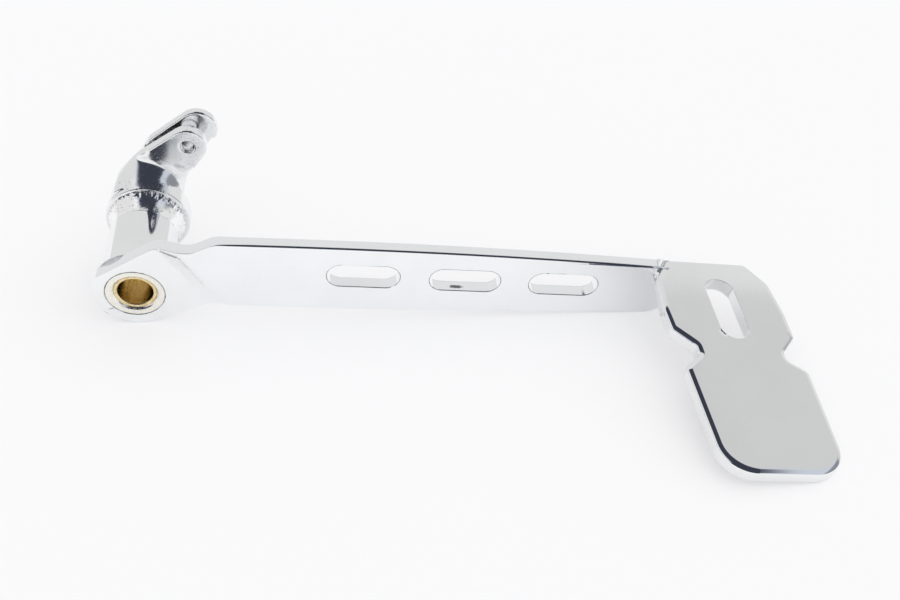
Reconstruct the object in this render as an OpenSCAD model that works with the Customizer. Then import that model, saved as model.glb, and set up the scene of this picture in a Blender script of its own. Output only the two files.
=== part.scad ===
// Rear brake pedal for a motorbike: a flat arm on a bushed pivot tube, with a
// foot pad plate at one end and a forked lever behind the tube.
// The pivot axis runs along Y, the arm runs along X and Z is up.
// The origin is the centre of the pivot bore on the arm's outer face.

/* [Pivot] */
// Bore of the two bushes, which turn on the pivot bolt
pivot_d = 15.9; // [14:0.05:17]
// Outside diameter of the bushes
bush_od = 19.05; // [18:0.05:20.5]
// Gap between the two bushes in the middle of the tube
bush_between = 8; // [4:1:20]
// How deep each bush sits below the tube's end
bush_inset = 1; // [0.5:0.1:3]
// Outside diameter of the pivot tube
tube_od = 31.75; // [30:0.25:33]
// Length from the arm's outer face to the tube's inboard end
tube_len = 60; // [52:1:66]
// Diameter of the turned spigot that passes through the arm
spigot_d = 26.7; // [24:0.1:28]
// Width of the chamfer inside each end of the tube
mouth_chamfer = 1.1; // [0.4:0.1:2]

/* [Arm] */
// Thickness of the arm's flat bar
arm_t = 6.35; // [5:0.05:8]
// Diameter of the round end about the pivot
boss_d = 37.6; // [36:0.2:40]
// Distance from the pivot axis to the flat cut on the round end
boss_flat = 17.1; // [16.5:0.1:18]
// Slope of that flat cut in degrees
boss_flat_slope = 37.6; // [34:0.2:40]
// How far the arm steps outward at the joggle
joggle = 3; // [2:0.25:4]
// Distance from the pivot axis to the first fold of the joggle
joggle_at = 25.2; // [24:0.2:27]
// Distance between the two folds
joggle_run = 7.8; // [7:0.2:9]
// Angle of the folds from upright, in degrees
joggle_turn = 37; // [34:1:40]
// Inside radius of the folds
fold_r = 3.5; // [2:0.5:5]
// Height of the arm's top edge above the pivot axis where the straight part starts
arm_top_left = 35.3; // [34:0.1:36.5]
// Height of the arm's top edge above the pivot axis at the pad
arm_top_right = 37.8; // [36.5:0.1:39]
// Crown of the top edge between those two ends
arm_crown = 1.8; // [0:0.1:3]
// Height of the bottom edge just after the joggle
arm_low_left = -1.4; // [-3:0.1:0]
// Height of the bottom edge at the pad
arm_low_right = 7.6; // [6:0.1:9]
// Radius of the arm's lower end corner, which runs up under the pad
arm_end_r = 22; // [16:1:23]

/* [Arm slots] */
// Number of slots along the arm
slot_count = 3; // [1:1:3]
// Length of each slot
slot_len = 33.6; // [26:0.2:36]
// Height of each slot
slot_h = 13; // [10:0.2:14]
// Distance between slot centres
slot_pitch = 47.5; // [44:0.5:49]
// Distance from the pivot axis to the first slot's centre
slot_start = 102; // [98:0.5:106]
// Height of the first slot's centre above the pivot axis
slot_z = 21.3; // [20:0.1:22]
// Slope of the slot row in degrees
slot_slope = 1.2; // [0:0.1:2]

/* [Pad plate] */
// Thickness of the pad plate
pad_t = 6.35; // [5:0.05:8]
// Distance from the pivot axis to the pad's centre line
pad_x = 266; // [264:0.5:268]
// Length of the pad from the arm's inboard face toward the foot
pad_len = 124; // [116:1:130]
// Half width of the pad at its shoulders
pad_half = 30; // [28:0.5:31]
// Half width of the pad's outer edge before its corners are rounded
pad_end_half = 27; // [26:0.5:29]
// Half width at the waist
waist_half = 20.5; // [18:0.5:23]
// Distance from the pad's inboard edge to the middle of the waist
waist_at = 60; // [57:0.5:63]
// How much lower the waist's shoulder sits on the side away from the pivot
waist_skew = 2.4; // [0:0.2:2.8]
// Radius of the two outer corners
pad_corner_r = 15; // [10:1:18]
// Width of the slot that holds the foot rubber
pad_slot_w = 14; // [12:0.2:16]
// Length of that slot
pad_slot_len = 38; // [30:0.2:40]
// Distance from the pad's inboard edge to the slot's centre
pad_slot_at = 31.5; // [28:0.1:32]
// How far the slot's centre lies beyond the pad's centre line
pad_slot_shift = 1.4; // [0:0.2:2]

/* [Lever] */
// Wall of the lever's collar around the tube
collar_wall = 4.2; // [3.6:0.1:5]
// Length of the collar along the tube
collar_len = 9; // [8:0.5:12]
// How far the collar's outside sits off the tube's axis toward the pad
collar_shift = 0.8; // [0:0.1:1.2]
// Radius on which the lever's neck bends up from the collar
neck_r = 10; // [8:0.5:11]
// Angle in degrees by which the neck leans toward the pad
neck_lean = 16; // [12:1:20]
// How far the neck sits off the tube's axis away from the pad
neck_shift = 1.3; // [0:0.1:2]
// Distance along the arm from the pivot axis to the lever's pin
pin_x = 18.5; // [17:0.1:20]
// Height of the lever's pin above the collar
pin_rise = 17.3; // [17:0.1:19]
// Diameter of the pin hole in the two ears
pin_d = 6.5; // [5:0.1:8]
// Thickness of the front ear
ear_t = 5.2; // [4:0.1:6]
// Thickness of the rear ear
rear_ear_t = 4.4; // [4:0.1:5.5]
// Gap between the two ears
ear_gap = 5.9; // [5:0.1:7]
// Radius of the front ear's round end
front_ear_r = 9.1; // [8:0.1:9.6]
// Radius of the rear ear's round end
rear_ear_r = 9.6; // [8.6:0.1:10.2]
// How far the rear ear reaches past the front one
rear_ear_more = 4.9; // [2:0.1:6]

/* [Welds] */
// Width of the weld bead along the tube at the collar
bead_w = 8.5; // [5:0.5:10]
// Leg of the weld bead between the tube and the arm
fillet_leg = 3; // [2:0.25:4]
// Leg of the weld bead under the pad plate
pad_bead = 3; // [2:0.25:3.5]
// Width of the welded groove between the arm's end and the pad's corner
pad_groove = 1.2; // [0.8:0.1:1.6]

/* [Fits] */
// Radial gap between the spigot and its hole in the arm
spigot_gap = 0.02; // [0:0.01:0.1]
// Radial gap between the tube and the collar
collar_gap = 0.02; // [0:0.01:0.1]
// Facets on full circles
detail = 96; // [48:12:144]

/* [Hidden] */
eps = 0.05;
far = 400;
arc_steps = 12;
edge_steps = 24;

// Bright plated steel, turned bronze and plated weld metal
plated = [0.80, 0.81, 0.83];
bronze = [0.78, 0.56, 0.26];
weld_metal = [0.74, 0.75, 0.77];

boss_r = boss_d / 2;
tube_r = tube_od / 2;
collar_r = tube_r + collar_wall;
collar_d = 2 * collar_r;
collar_y = tube_len - collar_len;
arm_face_y = -joggle;
arm_back_y = arm_t - joggle;
pad_under = arm_top_right - pad_t;
pad_edge_y = arm_back_y;
through = 1;

// The bushes fill the tube from both ends, up to the gap between them
bush_len = (tube_len - bush_between) / 2 - bush_inset;
bush_chamfer = 0.4;

// Corner points of the pad's chamfer, out from its centre line and in from its inboard edge
corner_x = 20;
chamfer_x = 28.2;
chamfer_y = 13;
chamfer_turn = atan2(chamfer_y, chamfer_x - corner_x);

// The arm's top edge ends in a slant beside that chamfer
arm_stop_x = pad_x - corner_x;
// The tongue under the pad ends short of the pad's slot
tongue_short = 2.2;
tongue_x = pad_x + pad_slot_shift - pad_slot_w / 2 - tongue_short;

// The neck turns up on this circle, and the ears start where it points up
neck_step = 2;
neck_y = collar_y + neck_step;
fork_y = neck_y + neck_r;
ear_gap_y = fork_y + ear_t;
rear_ear_y = ear_gap_y + ear_gap;
fork_end_y = rear_ear_y + rear_ear_t;
pin_z = collar_r + pin_rise;
pin_at = [pin_x, pin_z];
pin_chamfer = 0.3;

function unit(v) = v / norm(v);

function turned(a) =
    a > 180 ? a - 360 : a < -180 ? a + 360 : a;

// A point at radius r and the given angle about p
function around(p, r, angle) = p + r * [cos(angle), sin(angle)];

// Points of the arc that rounds corner b between a and c with radius r
function corner(a, b, c, r) =
    let (
        u = unit(a - b),
        v = unit(c - b),
        half = acos(u * v) / 2,
        mid = b + unit(u + v) * (r / sin(half)),
        p = b + u * (r / tan(half)),
        q = b + v * (r / tan(half)),
        from = atan2(p[1] - mid[1], p[0] - mid[0]),
        sweep = turned(atan2(q[1] - mid[1], q[0] - mid[0]) - from)
    )
    [for (i = [0 : arc_steps]) around(mid, r, from + sweep * i / arc_steps)];

function flat2(p) = [p[0], p[1]];

// A path point that stays sharp
function sharp(p) = [p[0], p[1], 0];

// A closed path of [x, y, corner radius] as plain points
function rounded(path) =
    let (n = len(path))
    [for (i = [0 : n - 1]) each path[i][2] == 0
        ? [flat2(path[i])]
        : corner(flat2(path[(i + n - 1) % n]), flat2(path[i]), flat2(path[(i + 1) % n]), path[i][2])];

// A gentle curve from a to c, drawn toward b, at t from 0 to 1
function curve_point(a, b, c, t) =
    a * (1 - t) * (1 - t) + b * 2 * t * (1 - t) + c * t * t;

function curve(a, b, c) =
    [for (i = [0 : edge_steps]) sharp(curve_point(a, b, c, i / edge_steps))];

function backward(list) = [for (i = [len(list) - 1 : -1 : 0]) list[i]];

// A round slot along X, as a flat shape
module slot2(length, height) {
    square([length - height, height], center = true);
    for (side = [-1, 1])
        translate([side * (length - height) / 2, 0])
            circle(d = height, $fn = detail);
}

// A flat shape in X and Z, drawn out along Y between two depths
module along_y(from, to) {
    translate([0, to, 0])
        rotate([90, 0, 0])
            linear_extrude(to - from)
                children();
}

// A cylinder about the pivot axis between two depths
module rod_y(d, from, to) {
    cone_y(d, d, from, to);
}

// A cone about the pivot axis between two depths
module cone_y(d1, d2, from, to) {
    translate([0, from, 0])
        rotate([-90, 0, 0])
            cylinder(d1 = d1, d2 = d2, h = to - from, $fn = detail);
}

// A chamfer that opens a hole of diameter d toward the depth named out
module chamfer_y_cut(d, width, out, inward) {
    wide = d + 2 * width + 2 * eps;
    thin = d - 2 * eps;
    if (inward > 0)
        cone_y(wide, thin, out - eps, out + width + eps);
    else
        cone_y(thin, wide, out - width - eps, out + eps);
}

// A flat profile of radius and depth, turned about the pivot axis
module turned_y() {
    rotate([-90, 0, 0])
        rotate_extrude($fn = detail)
            children();
}

// The arm: a flat bar with a round end, a joggle, three slots and a tongue under the pad

// The crest beside the boss and its rounding
crest_x = 8.8;
crest_r = 12;
// The dip after the crest and the rise to the straight top edge
dip_x = 25;
dip_z = 29.2;
dip_r = 9;
rise_x = 35;
rise_r = 12;
top_run = 6;
top_lift = 0.25;
top_end = 5.75;
// The bottom edge: where its curve starts, bends and meets the end corner
low_start_x = 50;
low_mid_x = 110;
low_end_back = 26;
low_end_drop = 0.4;
low_end_lift = 0.6;
// The run from the bottom edge into the boss
low_turn_back = 15;
low_turn_drop = 0.9;
low_turn_r = 40;
low_tangent = 60;
low_r = boss_r - 0.1;

function flat_cut_z(x) = boss_flat / cos(boss_flat_slope) + x * tan(boss_flat_slope);

// The middle of the flat cut
flat_mid = around([0, 0], boss_flat, boss_flat_slope + 90);

function arm_path() = concat(
    [
        sharp(flat_mid),
        [crest_x, flat_cut_z(crest_x), crest_r],
        [dip_x, dip_z, dip_r],
        [rise_x, arm_top_left, rise_r]
    ],
    curve(
        [rise_x + top_run, arm_top_left + top_lift],
        [(rise_x + arm_stop_x) / 2, (arm_top_left + arm_top_right) / 2 + 2 * arm_crown],
        [arm_stop_x - top_end, arm_top_right]
    ),
    [
        [arm_stop_x, arm_top_right, 0],
        [arm_stop_x, pad_under, 0],
        [tongue_x, pad_under, 0],
        [tongue_x, arm_low_right + low_end_lift, arm_end_r]
    ],
    curve(
        [tongue_x - low_end_back, arm_low_right - low_end_drop],
        [low_mid_x, arm_low_left],
        [low_start_x, arm_low_left]
    ),
    [
        [low_start_x - low_turn_back, arm_low_left - low_turn_drop, low_turn_r],
        sharp(around([0, 0], low_r, -low_tangent)),
        [0, 0, 0]
    ]
);

// The arm seen along the pivot axis, drawn out past both of its faces
module arm_prism() {
    along_y(arm_face_y - through, arm_t + through)
        difference() {
            circle(d = boss_d, $fn = detail);
            rotate(boss_flat_slope)
                translate([-far / 2, boss_flat])
                    square(far);
        }
    along_y(arm_face_y - through, arm_t + through)
        polygon(rounded(arm_path()));
}

joggle_lean = atan2(joggle, joggle_run);
joggle_back = arm_t * tan(joggle_lean / 2);
joggle_end = joggle_at + joggle_run;

function sheet_path() = [
    [-far / 4, 0, 0],
    [joggle_at, 0, fold_r],
    [joggle_end, -joggle, fold_r + arm_t],
    [far, -joggle, 0],
    [far, arm_t - joggle, 0],
    [joggle_end + joggle_back, arm_t - joggle, fold_r],
    [joggle_at + joggle_back, arm_t, fold_r + arm_t],
    [-far / 4, arm_t, 0]
];

// A flat bar with two opposite folds that lie across the arm's neck
module folded_sheet() {
    rotate([0, -joggle_turn, 0])
        translate([0, 0, -far / 2])
            linear_extrude(far * 3 / 4)
                polygon(rounded(sheet_path()));
}

module arm_plate() {
    color(plated)
        difference() {
            intersection() {
                folded_sheet();
                arm_prism();
            }
            rod_y(spigot_d + 2 * spigot_gap, -eps, arm_t + eps);
            // Slant at the end of the top edge
            translate([arm_stop_x, pad_edge_y, pad_under])
                rotate(chamfer_turn - 90)
                    translate([-pad_groove, -far / 2, 0])
                        cube([far, far, far / 4]);
            for (i = [0 : slot_count - 1])
                translate([slot_start + i * slot_pitch, 0, slot_z + i * slot_pitch * tan(slot_slope)])
                    along_y(arm_face_y - through, arm_back_y + through)
                        rotate(slot_slope)
                            slot2(slot_len, slot_h);
        }
}

// The pad plate: chamfered corners at the arm, a notched waist and a slot for the rubber

shoulder_y = 33;
shoulder_in = 0.5;
notch_top = 14.5;
notch_floor = 4.8;
notch_step = 1;
notch_low = 8.5;
notch_low_in = 1;
// Corner radii from the inboard edge down to the lower shoulder
pad_radii = [3, 8, 30, 3, 4, 4, 4.5];

// One long side of the pad, from the inboard edge to the outer end
function pad_side(side, skew) =
    let (waist = side * (waist_half + skew / 4))
    [
        [side * corner_x, 0, pad_radii[0]],
        [side * chamfer_x, -chamfer_y, pad_radii[1]],
        [side * pad_half, -shoulder_y, pad_radii[2]],
        [side * (pad_half - shoulder_in), -(waist_at - notch_top + skew), pad_radii[3]],
        [waist, -(waist_at - notch_floor + skew), pad_radii[4]],
        [waist, -(waist_at + notch_step + skew / 2), pad_radii[5]],
        [side * (pad_half - notch_low_in), -(waist_at + notch_low), pad_radii[6]],
        [side * pad_end_half, -pad_len, pad_corner_r]
    ];

module pad_plate() {
    color(plated)
        translate([pad_x, pad_edge_y, pad_under])
            difference() {
                linear_extrude(pad_t)
                    polygon(rounded(concat(pad_side(1, waist_skew), backward(pad_side(-1, 0)))));
                translate([pad_slot_shift, -pad_slot_at, -through])
                    linear_extrude(pad_t + 2 * through)
                        rotate(90)
                            slot2(pad_slot_len, pad_slot_w);
            }
}

// The pivot tube with its spigot through the arm, and the two bushes in it

module pivot_tube() {
    color(plated)
        difference() {
            union() {
                rod_y(tube_od, arm_t, tube_len);
                rod_y(spigot_d, 0, arm_t + eps);
            }
            rod_y(bush_od, -eps, tube_len + eps);
            chamfer_y_cut(bush_od, mouth_chamfer, 0, 1);
            chamfer_y_cut(bush_od, mouth_chamfer, tube_len, -1);
        }
}

function bush_profile() = [
    [pivot_d / 2, bush_chamfer],
    [pivot_d / 2, bush_len - bush_chamfer],
    [pivot_d / 2 + bush_chamfer, bush_len],
    [bush_od / 2, bush_len],
    [bush_od / 2, 0],
    [pivot_d / 2 + bush_chamfer, 0]
];

module bush(from) {
    color(bronze)
        translate([0, from, 0])
            turned_y()
                polygon(bush_profile());
}

module outer_bush() {
    bush(bush_inset);
}

module inner_bush() {
    bush(tube_len - bush_inset - bush_len);
}

// The forked lever: a collar, a neck that bends up from it and two ears with a pin hole

// Where the front ear's left edge leaves the collar, and how far inside its skin
neck_left_angle = 157;
neck_left_in = 0.6;
// The bulge and the root of that edge, measured from the pivot axis and from the collar's top
bulge_x = -14.6;
bulge_down = 3.7;
bulge_r = 12;
root_x = -4.6;
root_up = 9.5;
root_r = 15;
// The right edge stands this far inside the collar's side
side_in = 2.8;
side_low_z = 6;
side_bend_down = 3.7;
side_bend_r = 20;
// Slopes of the ears' edges in degrees
left_slope = 40.6;
right_slope = 62;
rear_left_slope = 42;
rear_right_slope = 60;
// The rear ear's foot and edges
rear_low_down = 3.1;
rear_foot_x = -8.5;
rear_root_x = -1.1;
rear_root_up = 11.1;
rear_side_r = 4;
rear_reach_turn = 35;
rear_trim = 8.4;

side_x = collar_r - side_in;
root_z = collar_r + root_up;
rear_low_z = collar_r - rear_low_down;
rear_tip = around(pin_at, rear_ear_more, rear_reach_turn);

// The neck and the front ear seen along the pivot axis
module front_outline() {
    polygon(rounded([
        sharp(around([0, 0], collar_r - neck_left_in, neck_left_angle)),
        [bulge_x, collar_r - bulge_down, bulge_r],
        [root_x, root_z, root_r],
        sharp(around(pin_at, front_ear_r, left_slope + 90)),
        sharp(pin_at),
        sharp(around(pin_at, front_ear_r, right_slope - 90)),
        [side_x + collar_gap, collar_r - side_bend_down, side_bend_r],
        [side_x, side_low_z, 0],
        [0, 0, 0]
    ]));
    translate(pin_at)
        circle(r = front_ear_r, $fn = detail);
}

// The rear ear seen along the pivot axis, trimmed straight along its right side
module rear_outline() {
    difference() {
        union() {
            polygon(rounded([
                [rear_foot_x, rear_low_z, 0],
                [rear_root_x, collar_r + rear_root_up, root_r],
                sharp(around(rear_tip, rear_ear_r, rear_left_slope + 90)),
                sharp(rear_tip),
                sharp(around(rear_tip, rear_ear_r, rear_right_slope - 90)),
                [side_x, rear_low_z + rear_low_down, rear_side_r],
                [side_x - rear_low_down, rear_low_z, 0]
            ]));
            translate(rear_tip)
                circle(r = rear_ear_r, $fn = detail);
        }
        translate(rear_tip)
            rotate(rear_right_slope)
                translate([-far, -far - rear_trim])
                    square([far, far]);
    }
}

// A round bar that runs along Y and bends up on the neck radius
module neck() {
    translate([-neck_shift, neck_y, collar_r + neck_r])
        rotate([0, 90, 0])
            rotate_extrude(angle = 90, $fn = detail)
                translate([collar_r + neck_r, 0])
                    circle(r = collar_r, $fn = detail);
}

// How far the ear's sloping front reaches into the neck
slope_in = 2;
slope_out = 10;
slope_down = 5;

// The flat front of the ear, which slopes back into the neck's flanks
module ear_front() {
    rotate([90, 0, 90])
        translate([0, 0, -far / 2])
            linear_extrude(far)
                polygon([
                    [fork_y, collar_r + neck_r - slope_in],
                    [fork_y, far],
                    [far, far],
                    [far, rear_low_z - slope_down],
                    [fork_y + slope_out, rear_low_z - slope_down]
                ]);
}

module fork_body() {
    intersection() {
        along_y(neck_y - through, ear_gap_y)
            front_outline();
        rotate([0, neck_lean, 0]) {
            neck();
            ear_front();
        }
    }
    along_y(ear_gap_y - eps, fork_end_y)
        rear_outline();
}

module pin_cut() {
    translate([pin_x, 0, pin_z]) {
        rod_y(pin_d, fork_y - through, fork_end_y + through);
        chamfer_y_cut(pin_d, pin_chamfer, fork_y, 1);
        chamfer_y_cut(pin_d, pin_chamfer, fork_end_y, -1);
    }
}

// The floor of the gap between the ears, and the hollow behind the collar
gap_floor_x = -3.2;
gap_floor_up = 8.5;
gap_floor_turn = 24;
back_flare = 0.29;
back_wall = 0.5;
collar_back = 3;

// The hollow widens toward the back, so the neck stands on the collar like a hood
module back_hollow() {
    start_d = collar_d - 2 * back_wall;
    depth = fork_end_y + through - tube_len;
    cone_y(start_d, start_d + 2 * back_flare * depth, tube_len, tube_len + depth);
}

module clevis_lever() {
    color(plated)
        difference() {
            union() {
                translate([collar_shift, 0, 0])
                    rod_y(collar_d, collar_y, tube_len);
                fork_body();
            }
            rod_y(tube_od + 2 * collar_gap, collar_y - collar_back, tube_len + eps);
            back_hollow();
            pin_cut();
            translate([gap_floor_x, ear_gap_y, collar_r + gap_floor_up])
                rotate([0, gap_floor_turn, 0])
                    translate([-far / 4, 0, 0])
                        cube([far, ear_gap, far]);
        }
}

// The welds: a bead at the collar, a fillet at the arm and beads at the pad

bead_step = 0.4;
bead_root = 2;
bead_rise = collar_wall - bead_step;
// How full the two fillets are, as a share of their leg
fillet_full = 0.55;
fillet_toe = 0.2;

// A bulging bead section from the tube's skin out to the collar's face
function bead_points(skin, width, rise) = concat(
    [[skin - bead_root, 0], [skin - bead_root, -width]],
    [for (i = [0 : arc_steps]) let (a = 90 * i / arc_steps) [skin + rise * sin(a), -width * cos(a)]]
);

module lever_weld() {
    color(weld_metal)
        difference() {
            translate([collar_shift, collar_y, 0])
                turned_y()
                    polygon(bead_points(tube_r, bead_w, bead_rise));
            // The root is cut back to the tube's skin
            rod_y(tube_od, collar_y - 2 * bead_w, collar_y + eps);
        }
}

module arm_weld() {
    color(weld_metal)
        translate([0, arm_t, 0])
            turned_y()
                polygon([
                    [tube_r, 0],
                    [tube_r + fillet_leg - fillet_toe, 0],
                    [tube_r + fillet_leg * fillet_full, fillet_leg * fillet_full],
                    [tube_r, fillet_leg]
                ]);
}

// The pad's bead at the corner: its side reach, its depth below the pad and its overlap
bead_side = 1.2;
groove_down = 0.8;
face_down = 2;
groove_back = 3;
groove_over = 2;

// The corner where the pad's chamfer crosses the arm's outer face
cross_x = pad_x - corner_x - arm_t / tan(chamfer_turn);
bead_start_x = cross_x - bead_side - pad_groove;

// Beads in the groove at the pad's corner, down the arm's face and under the pad
module pad_weld() {
    color(weld_metal)
        difference() {
            union() {
                translate([0, 0, pad_under])
                    linear_extrude(pad_t - groove_down)
                        polygon([
                            [cross_x, arm_face_y],
                            [bead_start_x, arm_face_y],
                            [arm_stop_x - pad_groove - groove_back, arm_back_y],
                            [arm_stop_x + groove_over, arm_back_y]
                        ]);
                translate([0, 0, pad_under])
                    linear_extrude(pad_t - face_down)
                        polygon([
                            [bead_start_x, arm_face_y],
                            [cross_x - bead_side / 2, arm_face_y - 2 * bead_side],
                            [cross_x + groove_over, arm_face_y]
                        ]);
                translate([bead_start_x, arm_face_y, pad_under])
                    rotate([90, 0, 90])
                        linear_extrude(tongue_x - cross_x + through)
                            polygon([
                                [0, 0],
                                [-pad_bead, 0],
                                [-pad_bead * fillet_full, -pad_bead * fillet_full],
                                [0, -pad_bead]
                            ]);
            }
            pad_plate();
            arm_plate();
        }
}

arm_plate();
pad_plate();
pivot_tube();
clevis_lever();
outer_bush();
inner_bush();
lever_weld();
arm_weld();
pad_weld();
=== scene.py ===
"""Looks for a rear brake pedal: bright plate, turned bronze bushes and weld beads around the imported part.

Lengths are in metres, in the part's own frame: the pivot axis runs along Y,
the arm runs along X and Z is up. The table under the pedal is tilted in that
frame, because the pedal lies on its round end, its arm and a corner of the pad.
"""

import logging
import math
from dataclasses import dataclass, field
from enum import Enum, IntEnum

import bmesh
import bpy
from mathutils import Matrix, Vector, noise

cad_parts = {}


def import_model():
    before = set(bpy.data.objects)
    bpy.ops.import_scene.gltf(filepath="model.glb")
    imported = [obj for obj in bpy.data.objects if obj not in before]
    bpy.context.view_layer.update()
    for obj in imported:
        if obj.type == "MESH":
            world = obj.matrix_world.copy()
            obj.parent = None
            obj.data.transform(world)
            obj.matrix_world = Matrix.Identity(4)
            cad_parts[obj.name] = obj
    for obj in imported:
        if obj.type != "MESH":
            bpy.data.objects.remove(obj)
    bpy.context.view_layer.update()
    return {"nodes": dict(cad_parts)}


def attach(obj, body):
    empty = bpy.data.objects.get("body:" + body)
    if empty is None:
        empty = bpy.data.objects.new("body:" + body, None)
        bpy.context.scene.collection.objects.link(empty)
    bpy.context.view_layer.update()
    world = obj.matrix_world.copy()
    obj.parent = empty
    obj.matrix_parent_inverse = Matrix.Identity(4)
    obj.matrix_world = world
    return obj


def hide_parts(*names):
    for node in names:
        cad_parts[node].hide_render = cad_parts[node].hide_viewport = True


# Three numbers, such as a point, a colour or a size
Triple = tuple[float, float, float]
# Two numbers, such as the places where a change begins and ends
Pair = tuple[float, float]

LOG = logging.getLogger("brake_pedal")
MM = 0.001
BODY = "root"

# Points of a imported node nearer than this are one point
NODE_JOIN = 0.002 * MM
# Faces that turn by less than this are one flat face
FLAT_TURN = math.radians(0.4)
# Facets across a rolled edge
ROLL_FACETS = 3
# How strongly a large face sets the shading of its corners, from 1 to 100
FLAT_WEIGHT = 60


class Slot(Enum):
    """Names of the finishes in the part's record."""

    PLATE = "chrome_plate"
    WELD = "chrome_weld"
    BRONZE = "bush_bronze"


class MixSocket(IntEnum):
    """Numbers of the sockets that a Mix node uses for colours."""

    SHARE = 0
    FIRST = 6
    SECOND = 7
    RESULT = 2


# Shader maths


class Wire:
    """A node's output, with which sums are written as plain expressions."""

    def __init__(self, recipe: "Recipe", socket: bpy.types.NodeSocket) -> None:
        """Keep the recipe that makes new nodes, and the output itself."""
        self.recipe = recipe
        self.socket = socket

    def _sum(self, operation: str, first: "Wire | float", second: "Wire | float") -> "Wire":
        """Add one Math node on two values."""
        return self.recipe.wire("ShaderNodeMath", {"operation": operation}, {0: first, 1: second})

    def __add__(self, other: "Wire | float") -> "Wire":
        """Give this plus the other."""
        return self._sum("ADD", self, other)

    __radd__ = __add__

    def __sub__(self, other: "Wire | float") -> "Wire":
        """Give this minus the other."""
        return self._sum("SUBTRACT", self, other)

    def __rsub__(self, other: "Wire | float") -> "Wire":
        """Give the other minus this."""
        return self._sum("SUBTRACT", other, self)

    def __mul__(self, other: "Wire | float") -> "Wire":
        """Give this times the other."""
        return self._sum("MULTIPLY", self, other)

    __rmul__ = __mul__

    def __pow__(self, other: "Wire | float") -> "Wire":
        """Give this to the power of the other."""
        return self._sum("POWER", self, other)

    def __rpow__(self, other: "Wire | float") -> "Wire":
        """Give the other to the power of this."""
        return self._sum("POWER", other, self)

    def angle(self, run: "Wire") -> "Wire":
        """Give the angle in degrees of a slope with this rise and the given run."""
        return self._sum("ARCTAN2", self, run) * (180 / math.pi)

    def wave(self, length: float) -> "Wire":
        """Give a wave from -1 to 1 that repeats each length."""
        return self._sum("SINE", self * (2 * math.pi / length), 0.0)

    def most(self, other: "Wire | float") -> "Wire":
        """Give the larger of this and the other."""
        return self._sum("MAXIMUM", self, other)

    def least(self, other: "Wire | float") -> "Wire":
        """Give the smaller of this and the other."""
        return self._sum("MINIMUM", self, other)

    def ease(self, span: Pair, start: float = 0.0, end: float = 1.0) -> "Wire":
        """Turn this smoothly from one value into another.

        Args:
            span: Where the change begins and where it ends.
            start: The value before the change.
            end: The value after it.

        Returns:
            The eased value.
        """
        settings = {"interpolation_type": "SMOOTHSTEP", "clamp": True}
        values = {"Value": self, "From Min": span[0], "From Max": span[1], "To Min": start, "To Max": end}
        return self.recipe.wire("ShaderNodeMapRange", settings, values)


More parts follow.
